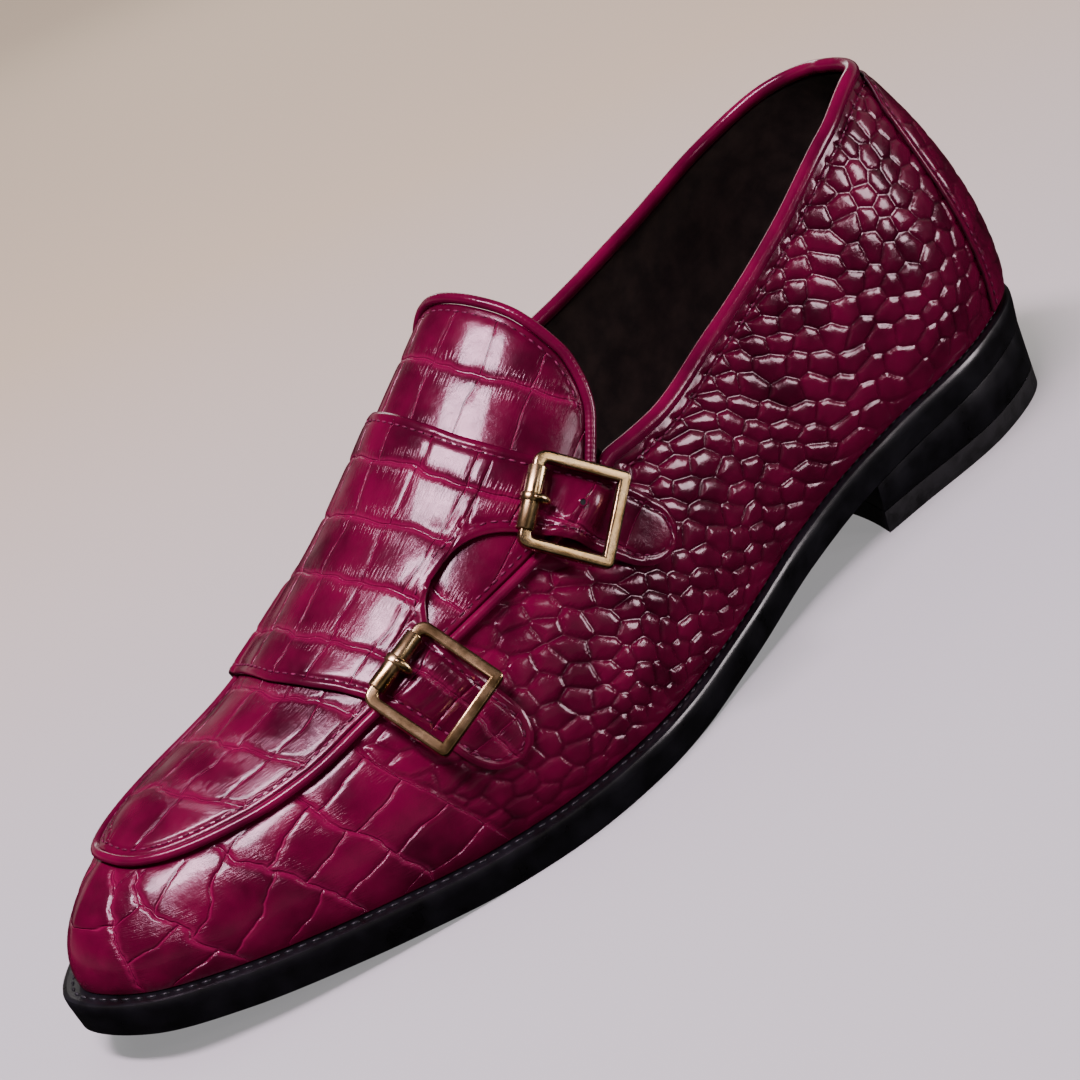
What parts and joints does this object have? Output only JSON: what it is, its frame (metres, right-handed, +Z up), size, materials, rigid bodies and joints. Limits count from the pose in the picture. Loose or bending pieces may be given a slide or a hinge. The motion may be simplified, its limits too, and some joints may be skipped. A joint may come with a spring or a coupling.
{
  "type": "double monk strap loafer",
  "caption": "Left slip-on leather shoe with a hollow upper, welted sole, stacked heel and a saddle whose straps run under metal buckles.",
  "frame": {"origin": "middle of the shoe's bounding box, on the floor that the shoe stands on", "axes": "+X from the heel to the toe, +Y to the lateral (outer) side, +Z up"},
  "size_m": [0.3005, 0.0978, 0.1048],
  "materials": {
    "sole_leather": "smooth dressed edge, satin black",
    "heel_leather": "stacked layers, satin black",
    "top_lift_rubber": "matt black",
    "lining": "matt napped brown",
    "upper_leather": "glossy embossed scale pattern, magenta burgundy",
    "strip_leather": "dark burgundy, semi gloss",
    "buckle_metal": "aged polished brass"
  },
  "bodies": {
    "root": {"outsole": "sole_leather", "welt": "sole_leather", "heel_stack": "heel_leather", "top_lift": "top_lift_rubber", "insole": "lining", "upper": "upper_leather", "apron_tongue": "upper_leather", "saddle": "upper_leather", "backstay": "upper_leather", "back_strip": "strip_leather", "collar_binding": "upper_leather", "apron_piping": "upper_leather", "tongue_binding": "upper_leather", "buckle_upper": "buckle_metal", "buckle_lower": "buckle_metal", "prong_upper": "buckle_metal", "prong_lower": "buckle_metal"}
  },
  "joints": []
}
